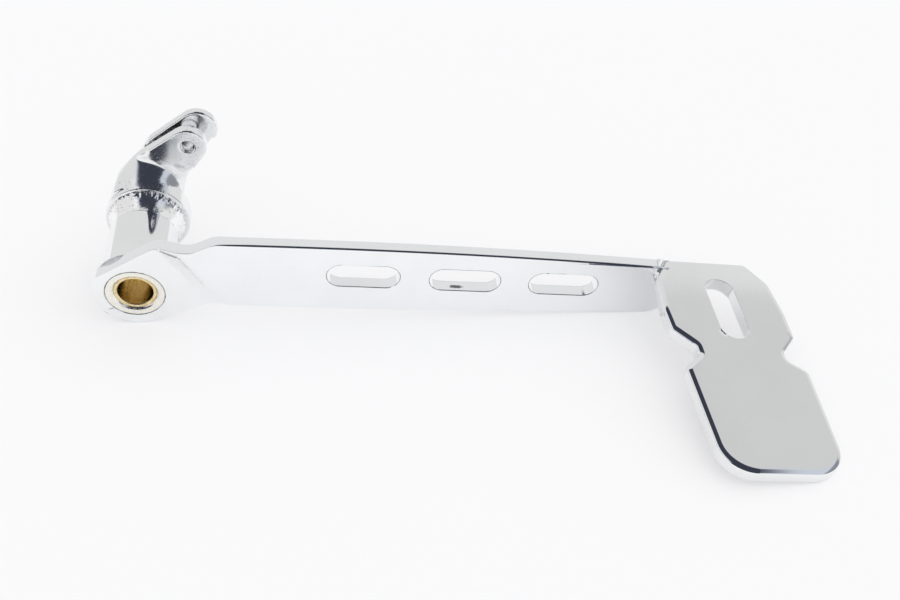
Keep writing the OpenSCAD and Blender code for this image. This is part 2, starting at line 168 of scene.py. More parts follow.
class Recipe:
    """Nodes of one material or of the world."""

    def __init__(self, tree: bpy.types.NodeTree) -> None:
        """Start with an empty tree."""
        self.tree = tree
        tree.nodes.clear()

    def node(self, kind: str, settings: dict | None = None, inputs: dict | None = None) -> bpy.types.Node:
        """Add any node.

        Args:
            kind: The node's type.
            settings: The node's own settings, set before its inputs.
            inputs: Values, wires or outputs for its sockets, by name or number.

        Returns:
            The new node.
        """
        made = self.tree.nodes.new(kind)
        for name, value in (settings or {}).items():
            setattr(made, name, value)
        for name, value in (inputs or {}).items():
            source = value.socket if isinstance(value, Wire) else value
            if isinstance(source, bpy.types.NodeSocket):
                self.tree.links.new(source, made.inputs[name])
            else:
                made.inputs[name].default_value = source
        return made

    def wire(
        self, kind: str, settings: dict | None = None, inputs: dict | None = None, output: int | str = 0
    ) -> Wire:
        """Add a node and give one of its outputs as a wire."""
        return Wire(self, self.node(kind, settings, inputs).outputs[output])

    def point(self) -> Wire:
        """Give the point on the piece."""
        return self.wire("ShaderNodeTexCoord", output="Object")

    def stretched(self, scale: Triple, turn: Triple = (0.0, 0.0, 0.0)) -> Wire:
        """Give that point with the pattern repeated this often along each axis and turned about it."""
        return self.wire("ShaderNodeMapping", {}, {"Vector": self.point(), "Scale": scale, "Rotation": turn})

    def noise(self, size: float, detail: float = 2.0, rough: float = 0.5, where: Wire | None = None) -> Wire:
        """Give a soft noise from 0 to 1.

        Args:
            size: The size of one patch, in metres.
            detail: How many finer layers it has.
            rough: How strong the finer layers are.
            where: The point to read, or the plain point on the piece.

        Returns:
            The noise.
        """
        values = {"Vector": where or self.point(), "Scale": 1 / size, "Detail": detail, "Roughness": rough}
        return self.wire("ShaderNodeTexNoise", {}, values)

    def parts(self, vector: Wire) -> tuple[Wire, Wire, Wire]:
        """Split a vector into its X, Y and Z."""
        split = self.node("ShaderNodeSeparateXYZ", {}, {0: vector})
        return Wire(self, split.outputs[0]), Wire(self, split.outputs[1]), Wire(self, split.outputs[2])

    def blend(self, share: Wire | float, first: Wire | Triple, second: Wire | Triple) -> Wire:
        """Blend two colours.

        Args:
            share: How much of the second colour shows, from 0 to 1.
            first: The first colour.
            second: The second colour.

        Returns:
            The blended colour.
        """
        before, after = (c if isinstance(c, Wire) else (*c, 1.0) for c in (first, second))
        settings = {"data_type": "RGBA", "clamp_factor": True}
        values = {MixSocket.SHARE: share, MixSocket.FIRST: before, MixSocket.SECOND: after}
        return self.wire("ShaderNodeMix", settings, values, MixSocket.RESULT)

    def bump(self, height: Wire, depth: float, below: Wire | None = None) -> Wire:
        """Turn a height from 0 to 1 into a relief.

        Args:
            height: The height.
            depth: What a height of 1 is, in metres.
            below: Another relief that this one lies on.

        Returns:
            The bent normal.
        """
        values: dict = {"Height": height, "Distance": depth}
        if below is not None:
            values["Normal"] = below
        return self.wire("ShaderNodeBump", {}, values)

    def metal(self, tint: Wire, rough: Wire, relief: Wire) -> None:
        """Finish the material as metal.

        Args:
            tint: Its colour.
            rough: Its roughness.
            relief: Its bent normal.
        """
        values = {"Base Color": tint, "Metallic": 1.0, "Roughness": rough, "Normal": relief}
        shader = self.node("ShaderNodeBsdfPrincipled", {}, values)
        self.node("ShaderNodeOutputMaterial", {}, {"Surface": shader.outputs[0]})


def fresh_material(name: str) -> tuple[bpy.types.Material, Recipe]:
    """Start a material.

    Args:
        name: The material's name.

    Returns:
        The material and the recipe for its nodes.
    """
    made = bpy.data.materials.new(name)
    made.use_nodes = True
    return made, Recipe(made.node_tree)


# The finishes


@dataclass(frozen=True)
class Mark:
    """A stain, nick or worn place on a piece, or a patch of painted shade on it.

    Attributes:
        at: Its middle, in millimetres in the part's frame.
        size: Its half lengths, in millimetres.
        turn: Its turn about the Y axis, in degrees.
        dark: How much it darkens the finish, from 0 to 1.
        dull: How much roughness it adds.
        ragged: How uneven its edge is.
        tooth: Size of the edge's teeth, as a share of the least half length.
        fringe: Where its edge begins and ends, as shares of its half lengths.
    """

    at: Triple
    size: Triple
    turn: float = 0.0
    dark: float = 0.5
    dull: float = 0.2
    ragged: float = 0.5
    tooth: float = 0.9
    fringe: Pair = (0.7, 1.0)

    def mask(self, recipe: Recipe) -> Wire:
        """Give 1 inside the mark and 0 outside it.

        Args:
            recipe: The recipe of the material that has the mark.

        Returns:
            The mask.
        """
        values = {
            "Vector": recipe.point(),
            "Location": tuple(c * MM for c in self.at),
            "Rotation": (0.0, math.radians(self.turn), 0.0),
            "Scale": tuple(c * MM for c in self.size),
        }
        local = recipe.wire("ShaderNodeMapping", {"vector_type": "TEXTURE"}, values)
        reach = recipe.wire("ShaderNodeVectorMath", {"operation": "LENGTH"}, {0: local}, "Value")
        edge = recipe.noise(min(self.size) * self.tooth * MM, 2.0, 0.6) - 0.5
        return (reach + edge * (2 * self.ragged)).ease(self.fringe, 1.0, 0.0)


@dataclass(frozen=True)
class BrightPlate:
    """Polished plate on flat steel, tube or forging.

    Attributes:
        name: The material's name.
        colour: Colour of the plate.
        gloss: Roughness of the clean plate.
        ripple: Depth of the long waves that polishing leaves, in metres.
        ripple_size: Length of those waves.
        specks: How many dull specks there are, from 0 to 1.
        speck_size: Size of one speck.
        speck_cut: How high the noise of the specks is where they begin and are whole.
        speck_colour: Colour of the specks.
        speck_cover: How much of that colour shows on a speck.
        speck_dull: How much roughness a speck adds.
        grain: Depth of the fine grain under the plate, in metres.
        grain_size: Size of that grain.
        cloud_size: Size of the cloudy patches.
        cloud_tone: How much of the plate's tone a cloudy patch keeps.
        cloud_dull: How much roughness a cloudy patch adds.
        rub_size: Width of the rubbed streaks.
        rub_stretch: How often the streaks repeat along each axis.
        rub_turn: The streaks' turn about each axis.
        rub_dull: How much roughness a streak adds.
        marks: Stains, nicks, worn places and patches of painted shade.
        mark_colour: Colour of those.
    """

    name: str
    colour: Triple = (0.90, 0.905, 0.91)
    gloss: float = 0.05
    ripple: float = 0.00002
    ripple_size: float = 0.016
    specks: float = 0.12
    speck_size: float = 0.0014
    speck_cut: Pair = (0.66, 0.74)
    speck_colour: Triple = (0.42, 0.42, 0.43)
    speck_cover: float = 0.6
    speck_dull: float = 0.4
    grain: float = 0.0000012
    grain_size: float = 0.0007
    cloud_size: float = 0.03
    cloud_tone: float = 0.975
    cloud_dull: float = 0.025
    rub_size: float = 0.004
    rub_stretch: Triple = (1.0, 9.0, 9.0)
    rub_turn: Triple = (0.3, 0.2, 0.15)
    rub_dull: float = 0.03
    marks: tuple[Mark, ...] = ()
    mark_colour: Triple = (0.05, 0.05, 0.055)

    def shade(self, r: Recipe) -> tuple[Wire, Wire, Wire]:
        """Work out how the plate looks.

        Args:
            r: The recipe of the plate's material.

        Returns:
            The colour, the roughness and the bent normal.
        """
        cloud = r.noise(self.cloud_size, 3.0, 0.55)
        fleck = r.noise(self.speck_size, 1.0, 0.5)
        rub = r.noise(self.rub_size, 4.0, 0.7, r.stretched(self.rub_stretch, self.rub_turn))
        speck = fleck.ease(self.speck_cut) * cloud.ease((0.38, 0.6)) * self.specks
        dull = cloud.ease((0.3, 0.75), 0.0, self.cloud_dull) + rub.ease((0.55, 0.8), 0.0, self.rub_dull)
        rough = dull + speck * self.speck_dull + self.gloss
        clouded = tuple(c * self.cloud_tone for c in self.colour)
        tint = r.blend(cloud.ease((0.35, 0.7)), self.colour, clouded)
        tint = r.blend(speck * self.speck_cover, tint, self.speck_colour)
        # Marks darken the plate: real stains and nicks, and on the arm also patches of painted shade
        for mark in self.marks:
            mask = mark.mask(r)
            tint = r.blend(mask * mark.dark, tint, self.mark_colour)
            rough = rough + mask * mark.dull
        relief = r.bump(r.noise(self.ripple_size, 1.0, 0.4), self.ripple)
        relief = r.bump(r.noise(self.grain_size, 2.0, 0.6), self.grain, relief)
        return tint, rough, relief

    def material(self) -> bpy.types.Material:
        """Make the material.

        Returns:
            The new material.
        """
        made, r = fresh_material(self.name)
        r.metal(*self.shade(r))
        return made


@dataclass(frozen=True)
class TurnedPlate(BrightPlate):
    """Plate over a turned tube, with lathe rings and a warmer tone on its end face.

    Attributes:
        warm: Colour of the end face.
        edge_colour: Colour of the worn edge round that face.
        face_r: Outer radius of the end face.
        face_y: Where along the tube the end face's look ends.
        edge_in: How far inside that radius the worn edge begins and is whole.
        ring: Distance between two lathe rings, in metres.
        ring_depth: Depth of the rings.
        worn_size: Size of the worn patches.
    """

    warm: Triple = (0.93, 0.90, 0.83)
    edge_colour: Triple = (0.10, 0.09, 0.08)
    face_r: float = 13.35 * MM
    face_y: Pair = (0.8 * MM, 1.6 * MM)
    edge_in: Pair = (0.45 * MM, 0.1 * MM)
    ring: float = 0.00055
    ring_depth: float = 0.000006
    worn_size: float = 0.0025

    def material(self) -> bpy.types.Material:
        """Make the material.

        Returns:
            The new material.
        """
        made, r = fresh_material(self.name)
        tint, rough, relief = self.shade(r)
        x, y, z = r.parts(r.point())
        radius = (x * x + z * z) ** 0.5
        front = y.ease(self.face_y, 1.0, 0.0)
        edge = radius.ease((self.face_r - self.edge_in[0], self.face_r - self.edge_in[1])) * front
        worn = r.noise(self.worn_size, 3.0, 0.6).ease((0.35, 0.65))
        tint = r.blend(front * 0.9, tint, self.warm)
        tint = r.blend(edge * (0.35 + worn * 0.5), tint, self.edge_colour)
        relief = r.bump(radius.wave(self.ring) * front, self.ring_depth, relief)
        r.metal(tint, rough + front * (0.1 + worn * 0.12), relief)
        return made


@dataclass(frozen=True)
class PlatedWeld:
    """Plate over a weld bead, brighter on its crests and dull in its pits.

    Attributes:
        name: The material's name.
        colour: Colour of the plate.
        pit: Colour of the pits.
        soot: Colour of the burnt patches.
        gloss: Roughness of the clean plate.
        lump: Depth of the lumps, in metres.
        lump_size: Size of one lump.
        fine: Depth of the fine grain, in metres.
        fine_size: Size of that grain.
        pits: How dark the pits are, from 0 to 1.
        pit_size: Size of one pit.
        burnt_size: Size of one burnt patch.
    """

    name: str
    colour: Triple = (0.95, 0.95, 0.955)
    pit: Triple = (0.10, 0.10, 0.11)
    soot: Triple = (0.36, 0.30, 0.24)
    gloss: float = 0.12
    lump: float = 0.00008
    lump_size: float = 0.0024
    fine: float = 0.00002
    fine_size: float = 0.0006
    pits: float = 0.5
    pit_size: float = 0.0012
    burnt_size: float = 0.006

    def material(self) -> bpy.types.Material:
        """Make the material.

        Returns:
            The new material.
        """
        made, r = fresh_material(self.name)
        lump = r.noise(self.lump_size, 2.0, 0.5)
        fine = r.noise(self.fine_size, 2.0, 0.5)
        pits = r.noise(self.pit_size, 1.0, 0.5).ease((0.66, 0.72))
        burnt = r.noise(self.burnt_size, 2.0, 0.6).ease((0.62, 0.74))
        tint = r.blend(burnt * 0.7, self.colour, self.soot)
        tint = r.blend(pits * self.pits, tint, self.pit)
        relief = r.bump(fine, self.fine, r.bump(lump, self.lump))
        rough = pits * 0.3 + lump.ease((0.3, 0.7), 0.0, 0.1) + burnt * 0.1 + self.gloss
        r.metal(tint, rough, relief)
        return made


@dataclass(frozen=True)
class TurnedBronze:
    """Oily bronze with turning marks in the bore and pale streaks along it.

    Attributes:
        name: The material's name.
        colour: Colour of the clean bronze.
        dark: Colour of the oily patches.
        rough: Roughness of the clean bronze.
        mottle_size: Size of one oily patch.
        streak_size: Width of one streak.
        streak_stretch: How often the streaks repeat along each axis.
        pitch: Distance between two turning marks.
        mark_depth: Depth of the turning marks.
        grain_size: Size of the metal's grain.
        grain_depth: Depth of that grain.
    """

    name: str
    colour: Triple = (0.92, 0.79, 0.50)
    dark: Triple = (0.74, 0.56, 0.27)
    rough: float = 0.16
    mottle_size: float = 0.003
    streak_size: float = 0.0022
    streak_stretch: Triple = (1.0, 0.08, 1.0)
    pitch: float = 0.0006
    mark_depth: float = 0.000008
    grain_size: float = 0.0005
    grain_depth: float = 0.00001

    def material(self) -> bpy.types.Material:
        """Make the material.

        Returns:
            The new material.
        """
        made, r = fresh_material(self.name)
        _, y, _ = r.parts(r.point())
        mottle = r.noise(self.mottle_size, 4.0, 0.6)
        streak = r.noise(self.streak_size, 3.0, 0.6, r.stretched(self.streak_stretch))
        tint = r.blend(streak.ease((0.38, 0.66)), self.colour, self.dark)
        tint = r.blend(mottle.ease((0.55, 0.75)) * 0.5, tint, self.dark)
        relief = r.bump(y.wave(self.pitch), self.mark_depth)
        relief = r.bump(r.noise(self.grain_size, 1.0, 0.5), self.grain_depth, relief)
        r.metal(tint, mottle.ease((0.3, 0.8), 0.0, 0.16) + self.rough, relief)
        return made


# The pieces


@dataclass(frozen=True)
class Rim:
    """A box round some edges.

    Attributes:
        low: The box's lowest corner, in millimetres.
        high: The box's highest corner, in millimetres.
    """

    low: Triple
    high: Triple

    def holds(self, point: Vector) -> bool:
        """Say whether a point lies in the box."""
        return all(a * MM <= c <= b * MM for a, c, b in zip(self.low, point, self.high))


def held(point: Vector, boxes: tuple[Rim, ...]) -> bool:
    """Say whether a point lies in any of some boxes."""
    return any(box.holds(point) for box in boxes)


def even_shade(piece: bpy.types.Object) -> None:
    """Add the modifier that keeps flat faces flat in the shading, up to their rolled edges.

    Args:
        piece: The piece that is shaded.
    """
    even = piece.modifiers.new("even_shade", "WEIGHTED_NORMAL")
    even.keep_sharp = False
    even.weight = FLAT_WEIGHT


def stand_in(
    shape: bmesh.types.BMesh, name: str, node: str, finish: bpy.types.Material
) -> bpy.types.Object:
    """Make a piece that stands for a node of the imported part.

    Args:
        shape: The piece's shape, which is used up.
        name: The piece's name.
        node: The node's name.
        finish: The material that covers the piece.

    Returns:
        The new piece.
    """
    bmesh.ops.recalc_face_normals(shape, faces=shape.faces)
    mesh = bpy.data.meshes.new(name)
    shape.to_mesh(mesh)
    shape.free()
    for face in mesh.polygons:
        face.use_smooth = True
    mesh.materials.append(finish)
    piece = bpy.data.objects.new(name, mesh)
    bpy.context.scene.collection.objects.link(piece)
    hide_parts(node)
    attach(piece, BODY)
    LOG.info("built %s, %d faces", name, len(mesh.polygons))
    return piece


@dataclass
class DressedNode:
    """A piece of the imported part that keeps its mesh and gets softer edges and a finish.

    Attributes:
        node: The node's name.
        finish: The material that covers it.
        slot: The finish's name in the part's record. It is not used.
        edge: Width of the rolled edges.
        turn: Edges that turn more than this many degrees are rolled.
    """

    node: str
    finish: bpy.types.Material
    slot: Slot
    edge: float
    turn: float = 40.0

    def build(self, nodes: dict[str, bpy.types.Object]) -> bpy.types.Object:
        """Dress the node.

        Args:
            nodes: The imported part's nodes by name.

        Returns:
            The dressed object.
        """
        piece = nodes[self.node]
        piece.data.materials.clear()
        piece.data.materials.append(self.finish)
        for face in piece.data.polygons:
            face.use_smooth = True
        for layer in [a for a in piece.data.attributes if a.name == "custom_normal"]:
            piece.data.attributes.remove(layer)
        self._roll(piece)
        LOG.info("dressed %s", self.node)
        return piece

    def _roll(self, piece: bpy.types.Object) -> None:
        """Add the modifiers for flat faces with rolled edges.

        Args:
            piece: The node's object.
        """
        weld = piece.modifiers.new("join", "WELD")
        weld.merge_threshold = NODE_JOIN
        flat = piece.modifiers.new("flat", "DECIMATE")
        flat.decimate_type = "DISSOLVE"
        flat.angle_limit = FLAT_TURN
        roll = piece.modifiers.new("rolled_edges", "BEVEL")
        roll.width = self.edge
        roll.segments = ROLL_FACETS
        roll.limit_method = "ANGLE"
        roll.angle_limit = math.radians(self.turn)
        even_shade(piece)


@dataclass
class PolishedPlate:
    """A flat plate, polished so that its faces fall away toward the outer edge.

    Attributes:
        source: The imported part's node that it is copied from.
        name: The new piece's name.
        sides: The ways that the polished faces look.
        rings: Width and fall of each ring along the outer edge, from the outside in.
        rim: Width of the rolled edge between the rings and the walls, or 0 for none.
        hole_rim: Width of the rolled edges of the holes.
        holes: Boxes round the holes, which the polishing leaves flat.
        plain: Boxes whose edges stay sharp.
        cuts: Places along X where the polishing may end.
        fade: Where along X the falls start to grow, where they are whole, and their share before that.
        join: Points of the copy nearer than this are one point.
        cut_near: Points nearer to a cut than this lie on it.
        level: Faces whose normals reach this far along a side belong to that side.
        upright: Faces whose normals reach less far than this along every side are walls.
    """

    source: str
    name: str
    sides: tuple[Vector, ...]
    rings: tuple[Pair, ...]
    rim: float
    hole_rim: float
    holes: tuple[Rim, ...]
    plain: tuple[Rim, ...] = ()
    cuts: tuple[float, ...] = ()
    fade: Triple = (-1.0, -0.9, 1.0)
    join: float = 0.005 * MM
    cut_near: float = 0.001 * MM
    level: float = 0.6
    upright: float = 0.1

    def build(self, nodes: dict[str, bpy.types.Object], finish: bpy.types.Material) -> bpy.types.Object:
        """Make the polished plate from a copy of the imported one.

        Args:
            nodes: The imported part's nodes by name.
            finish: The material that covers it.

        Returns:
            The new piece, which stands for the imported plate.
        """
        shape = bmesh.new()
        shape.from_mesh(nodes[self.source].data)
        bmesh.ops.remove_doubles(shape, verts=shape.verts, dist=self.join)
        bmesh.ops.dissolve_limit(
            shape, angle_limit=FLAT_TURN, verts=shape.verts, edges=shape.edges, use_dissolve_boundaries=False
        )
        for cut in self.cuts:
            geom = [*shape.verts, *shape.edges, *shape.faces]
            bmesh.ops.bisect_plane(
                shape, geom=geom, dist=self.cut_near, plane_co=(cut, 0, 0), plane_no=(1, 0, 0)
            )
        for side in self.sides:
            self._polish(shape, side)
        self._roll(shape, True, self.hole_rim)
        if self.rim:
            self._roll(shape, False, self.rim)
        piece = stand_in(shape, self.name, self.source, finish)
        even_shade(piece)
        return piece

    def _polish(self, shape: bmesh.types.BMesh, side: Vector) -> None:
        """Lay the rings along the outer edge of the faces that look one way.

        Args:
            shape: The plate's shape.
            side: The way that the faces look.
        """
        faces = [f for f in shape.faces if f.normal.dot(side) > self.level]
        at_hole = {v for f in faces for v in f.verts if held(v.co, self.holes)}
        for width, fall in self.rings:
            made = bmesh.ops.inset_region(
                shape, faces=faces, use_boundary=True, use_even_offset=True, thickness=width, depth=0.0
            )
            inner = {v for f in faces for v in f.verts}
            outer = {v for f in made["faces"] for v in f.verts} - inner
            for v in outer:
                round_hole = any(e.other_vert(v) in at_hole for e in v.link_edges)
                if not round_hole and not held(v.co, self.plain):
                    v.co -= side * fall * self._share(v.co.x)

    def _share(self, x: float) -> float:
        """Work out how much of the falls shows at one place.

        Args:
            x: The place along X.

        Returns:
            The share, from 0 to 1.
        """
        start, whole, least = self.fade
        grown = min(1.0, max(0.0, (x - start) / (whole - start)))
        return least + (1.0 - least) * grown

    def _roll(self, shape: bmesh.types.BMesh, in_hole: bool, width: float) -> None:
        """Roll the edges where the walls meet the polished faces.

        Args:
            shape: The plate's shape.
            in_hole: Whether the edges of the holes are rolled, or else all others.
            width: Width of the rolled edges.
        """
        shape.normal_update()
        edges = []
        for edge in shape.edges:
            middle = (edge.verts[0].co + edge.verts[1].co) / 2
            if len(edge.link_faces) != 2 or held(middle, self.plain):
                continue
            walls = [self._is_wall(face) for face in edge.link_faces]
            if walls[0] != walls[1] and held(middle, self.holes) == in_hole:
                edges.append(edge)
        bmesh.ops.bevel(
            shape,
            geom=edges,
            offset=width,
            offset_type="OFFSET",
            affect="EDGES",
            segments=ROLL_FACETS,
            profile=0.5,
            clamp_overlap=False,
            material=-1,
        )

    def _is_wall(self, face: bmesh.types.BMFace) -> bool:
        """Say whether a face stands upright to every polished side."""
        return all(abs(face.normal.dot(side)) < self.upright for side in self.sides)


@dataclass
class ForgedLever:
    """The clevis lever as a forging: soft edges, and a neck that flows into the fork.

    Attributes:
        grain: Size of the skin's facets.
        edge_passes: How often the whole skin is smoothed.
        neck_passes: How often the neck is smoothed after that.
        neck: Box round the part of the neck that flows into the fork.
    """

    grain: float = 0.4 * MM
    edge_passes: int = 7
    neck_passes: int = 90
    neck: Rim = Rim((-16.0, 52.0, 17.5), (22.0, 67.0, 33.0))

    def build(self, nodes: dict[str, bpy.types.Object], finish: bpy.types.Material) -> bpy.types.Object:
        """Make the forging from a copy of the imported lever.

        Args:
            nodes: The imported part's nodes by name.
            finish: The material that covers it.

        Returns:
            The new piece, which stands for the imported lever.
        """
        shape = self._skin(nodes["clevis_lever"])
        self._smooth(shape, list(shape.verts), self.edge_passes)
        self._smooth(shape, [v for v in shape.verts if self.neck.holds(v.co)], self.neck_passes)
        return stand_in(shape, "forged_lever", "clevis_lever", finish)

    def _skin(self, source: bpy.types.Object) -> bmesh.types.BMesh:
        """Copy a node's shape with an even skin of small facets.

        Args:
            source: The node, which stays as it is.

        Returns:
            The copied shape.
        """
        shape = bmesh.new()
        shape.from_mesh(source.data)
        bmesh.ops.remove_doubles(shape, verts=shape.verts, dist=NODE_JOIN)
        rough = bpy.data.meshes.new("lever_blank")
        shape.to_mesh(rough)
        blank = bpy.data.objects.new("lever_blank", rough)
        bpy.context.scene.collection.objects.link(blank)
        skin = blank.modifiers.new("skin", "REMESH")
        skin.mode = "VOXEL"
        skin.voxel_size = self.grain
        graph = bpy.context.evaluated_depsgraph_get()
        skinned = bpy.data.meshes.new_from_object(blank.evaluated_get(graph))
        shape.clear()
        shape.from_mesh(skinned)
        bpy.data.objects.remove(blank)
        bpy.data.meshes.remove(rough)
        bpy.data.meshes.remove(skinned)
        return shape

    @staticmethod
    def _smooth(shape: bmesh.types.BMesh, verts: list[bmesh.types.BMVert], passes: int) -> None:
        """Smooth some points a number of times."""
        for _ in range(passes):
            bmesh.ops.smooth_vert(
                shape, verts=verts, factor=0.5, use_axis_x=True, use_axis_y=True, use_axis_z=True
            )


@dataclass
class CollarBead:
    """The weld bead between the tube and the lever's collar.

    Places across the bead are shares of its width, from 0 at the collar to 1 on
    the tube, and heights are shares of its rise.

    Attributes:
        tube_r: Radius of the tube's skin.
        from_y: Where the bead meets the collar.
        width: Width of the bead along the tube.
        rise: Height of the bead above the skin.
        root: How far the bead's closed underside lies inside the tube.
        swell: Power that shapes the bead's section. Less makes it slimmer.
        centre_x: How far the bead's outside sits off the tube's axis.
        steps: Points round the tube.
        across: Points across the bead.
        patch: How many patches of lumps lie along the tube's radius.
        body: Height of the bead's body without its lumps.
        body_stray: How much that height strays round the turn.
        foot: How far the bead's foot reaches along the tube.
        foot_stray: How much that reach strays round the turn.
        ripples: Number of ripples in a full turn.
        ripple_depth: Depth of the ripples.
        ripple_edge: How sharp their crests are.
        ripple_stray: How far they stray along the turn.
        ripple_sweep: How far they trail behind across the bead.
        rope_at: Place of the rope of metal that runs round the bead.
        rope_width: Width of the rope.
        rope_rise: Height of the rope, and of its own lumps.
        rope_start: How fast the rope grows out of the skin.
        lump: Height of the lumps near the collar.
        lump_start: How fast the lumps grow out of the skin.
        lump_reach: How fast they end across the bead.
        cap: Greatest height of all together.
    """

    tube_r: float = 15.875 * MM
    from_y: float = 51 * MM
    width: float = 12.0 * MM
    rise: float = 2.5 * MM
    root: float = 1.2 * MM
    swell: float = 0.6
    centre_x: float = 0.5 * MM
    steps: int = 480
    across: int = 40
    patch: float = 6.0
    body: float = 0.9
    body_stray: float = 0.05
    foot: float = 0.93
    foot_stray: float = 0.06
    ripples: int = 44
    ripple_depth: float = 0.03
    ripple_edge: float = 0.8
    ripple_stray: float = 3.5
    ripple_sweep: float = 2.4
    rope_at: float = 0.12
    rope_width: float = 0.075
    rope_rise: float = 0.10
    rope_start: float = 2.0
    lump: float = 0.27
    lump_start: float = 1.6
    lump_reach: float = 3.2
    cap: float = 1.3

    def build(self, finish: bpy.types.Material) -> bpy.types.Object:
        """Make the bead.

        Args:
            finish: The material that covers it.

        Returns:
            The new piece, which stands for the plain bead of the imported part.
        """
        shape = bmesh.new()
        row = [shape.verts.new((self.tube_r - self.root, self.from_y, 0))]
        for i in range(self.across + 1):
            back = i / self.across
            lift = 0.5 + 0.5 * math.cos(math.pi * back**self.swell)
            row.append(shape.verts.new((self.tube_r + self.rise * lift, self.from_y - self.width * back, 0)))
        row.append(shape.verts.new((self.tube_r - self.root, self.from_y - self.width, 0)))
        edges = [shape.edges.new(pair) for pair in zip(row, row[1:] + row[:1])]
        bmesh.ops.spin(
            shape,
            geom=row + edges,
            cent=(0, 0, 0),
            axis=(0, 1, 0),
            angle=2 * math.pi,
            steps=self.steps,
            use_merge=True,
        )
        for v in shape.verts:
            self._lay(v)
        bmesh.ops.remove_doubles(shape, verts=shape.verts, dist=0.001 * MM)
        return stand_in(shape, "collar_bead", "lever_weld", finish)

    def _lay(self, v: bmesh.types.BMVert) -> None:
        """Move one point of the plain ring onto the lumpy bead.

        Args:
            v: The point.
        """
        turn = math.atan2(v.co.z, v.co.x)
        radius = math.hypot(v.co.x, v.co.z)
        lift = max(0.0, (radius - self.tube_r) / self.rise)
        back = (self.from_y - v.co.y) / self.width
        around = Vector((math.cos(turn), math.sin(turn), 0.0)) * self.patch
        wander = noise.noise(around * 0.5)
        near = min(1.0, lift * self.lump_start) * max(0.0, 1.0 - back * self.lump_reach)
        height = lift * (self.body + self.body_stray * wander)
        height -= self.ripple_depth * self._ripple(turn, back, wander) * near
        height += self._rope(around, back) * min(1.0, lift * self.rope_start)
        height += self._lumps(around, back) * near
        grown = min(radius, self.tube_r) + self.rise * min(height, self.cap) if lift > 0 else radius
        v.co.x = grown * math.cos(turn) + self.centre_x * lift
        v.co.z = grown * math.sin(turn)
        v.co.y = self.from_y - self.width * back * (self.foot + self.foot_stray * wander)

    def _ripple(self, turn: float, back: float, wander: float) -> float:
        """Give the ripples' depth at one place, from 0 on a crest to 1 between two."""
        phase = turn * self.ripples + self.ripple_stray * wander + self.ripple_sweep * back * back
        return 1.0 - abs(math.sin(phase / 2)) ** self.ripple_edge

    def _rope(self, around: Vector, back: float) -> float:
        """Give the height of the rope of metal at one place."""
        ridge = math.exp(-(((back - self.rope_at) / self.rope_width) ** 2))
        return ridge * self.rope_rise * (1.0 + noise.noise(around * 1.3 + Vector((5.0, 0.0, 0.0))))

    def _lumps(self, around: Vector, back: float) -> float:
        """Give the height of the lumps at one place."""
        coarse = noise.noise(around * 2.4 + Vector((0.0, 0.0, 5.0 * back)))
        return self.lump * (coarse + 0.4 * noise.noise(around * 3.1))


# The studio


@dataclass
class Table:
    """The white table that the pedal lies on.

    Attributes:
        up: The table's upward direction in the part's frame.
        half: Half of its side.
        gap: How far it lies under the pedal's lowest point.
        colour: Colour of the paper.
        glow: Colour of the paper where it shows as plain white.
        seen_glow: Share of that plain white that the camera sees.
        mirrored_glow: Share of it that the metal mirrors.
    """

    up: Vector = field(default_factory=lambda: Vector((-0.107, 0.159, 0.981)).normalized())
    half: float = 6.0
    gap: float = 0.02 * MM
    colour: Triple = (0.95, 0.95, 0.96)
    glow: Triple = (0.94, 0.94, 0.95)
    seen_glow: float = 0.5
    mirrored_glow: float = 0.15

    def build(self, nodes: dict[str, bpy.types.Object]) -> None:
        """Lay the table under the pedal's three lowest points.

        Args:
            nodes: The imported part's nodes by name.
        """
        low = min(self.up.dot(v.co) for piece in nodes.values() for v in piece.data.vertices)
        shape = bmesh.new()
        bmesh.ops.create_grid(shape, x_segments=1, y_segments=1, size=self.half)
        turn = Vector((0, 0, 1)).rotation_difference(self.up).to_matrix().to_4x4()
        place = Matrix.Translation(self.up * (low - self.gap)) @ turn
        bmesh.ops.transform(shape, matrix=place, verts=shape.verts)
        mesh = bpy.data.meshes.new("table")
        shape.to_mesh(mesh)
        shape.free()
        mesh.materials.append(self._paper())
        top = bpy.data.objects.new("table", mesh)
        bpy.context.scene.collection.objects.link(top)

    def _paper(self) -> bpy.types.Material:
        """Make the white paper, which keeps the pedal's shadow.

        Returns:
            The new material.
        """
        made, r = fresh_material("white_paper")
        ray = r.node("ShaderNodeLightPath")
        mirrored = Wire(r, ray.outputs["Is Glossy Ray"]).most(Wire(r, ray.outputs["Is Transmission Ray"]))
        share = Wire(r, ray.outputs["Is Camera Ray"]) * self.seen_glow + mirrored * self.mirrored_glow
        paper = r.node("ShaderNodeBsdfDiffuse", {}, {"Color": (*self.colour, 1.0)})
        glow = r.node("ShaderNodeEmission", {}, {"Color": (*self.glow, 1.0), "Strength": 1.0})
        mixed = r.node("ShaderNodeMixShader", {}, {0: share, 1: paper.outputs[0], 2: glow.outputs[0]})
        r.node("ShaderNodeOutputMaterial", {}, {"Surface": mixed.outputs[0]})
        return made


